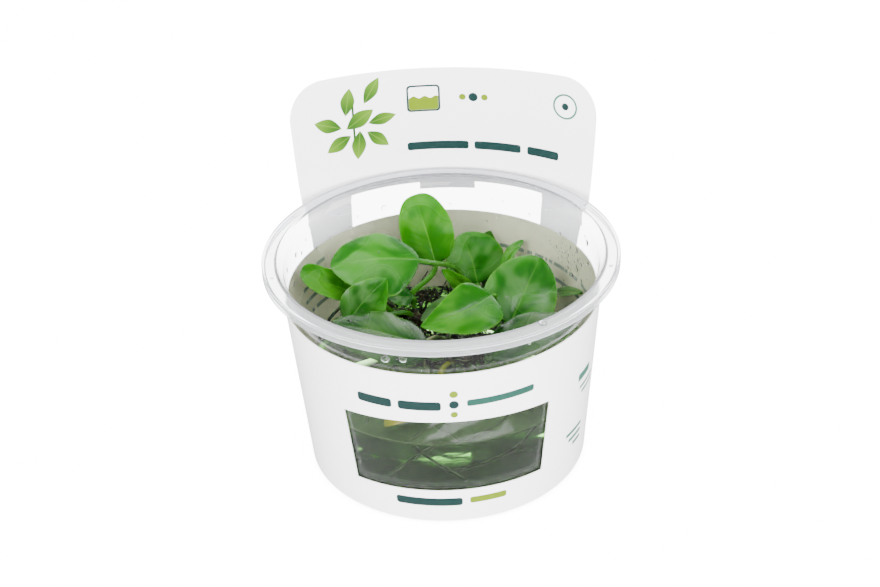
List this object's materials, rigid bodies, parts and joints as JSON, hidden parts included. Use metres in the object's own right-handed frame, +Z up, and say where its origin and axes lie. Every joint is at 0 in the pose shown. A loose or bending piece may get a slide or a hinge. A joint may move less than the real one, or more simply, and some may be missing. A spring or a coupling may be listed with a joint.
{
  "type": "potted aquarium plant",
  "caption": "Small broad-leaved water plant growing on clear gel in an open tapered clear cup with a wide flange, wrapped in a windowed card sleeve with a tall hanging tag",
  "frame": {"origin": "middle of the cup's flat base, on its underside", "axes": "+Z up through the cup's mouth; +Y towards the tag at the back; +X to the right when seen from the window side"},
  "size_m": [0.1, 0.1008, 0.0968],
  "materials": {
    "clear_plastic": "clear glossy moulded plastic",
    "printed_card": "satin coated white card, printed",
    "clear_gel": "clear pale wet gel",
    "leaf_bright": "waxy bright green leaf",
    "leaf_mid": "waxy green leaf",
    "leaf_deep": "waxy dark green leaf",
    "leaf_yellow": "waxy yellow-green leaf",
    "rhizome_skin": "dark brown matt plant skin",
    "root_skin": "pale matt plant skin"
  },
  "bodies": {
    "root": {"cup": "clear_plastic", "label_sleeve": "printed_card", "leaf_behind": "leaf_deep", "leaf_broad": "leaf_mid", "leaf_curled": "leaf_bright", "leaf_far_right": "leaf_deep", "leaf_folded": "leaf_bright", "leaf_front_left": "leaf_deep", "leaf_front_right": "leaf_deep", "leaf_low_right": "leaf_mid", "leaf_mid_left": "leaf_mid", "leaf_narrow": "leaf_bright", "leaf_right": "leaf_mid", "leaf_right_centre": "leaf_mid", "leaf_shaded": "leaf_deep", "leaf_small": "leaf_mid", "leaf_strap": "leaf_bright", "leaf_tall": "leaf_bright", "leaf_yellow": "leaf_yellow", "nutrient_gel": "clear_gel", "rhizome_back": "rhizome_skin", "rhizome_left": "rhizome_skin", "rhizome_right": "rhizome_skin", "root_back_deep": "root_skin", "root_back_side": "root_skin", "root_left_bent": "root_skin", "root_left_deep": "root_skin", "root_pale": "root_skin", "root_right_deep": "root_skin", "root_right_side": "root_skin", "root_wall": "root_skin"}
  },
  "joints": []
}
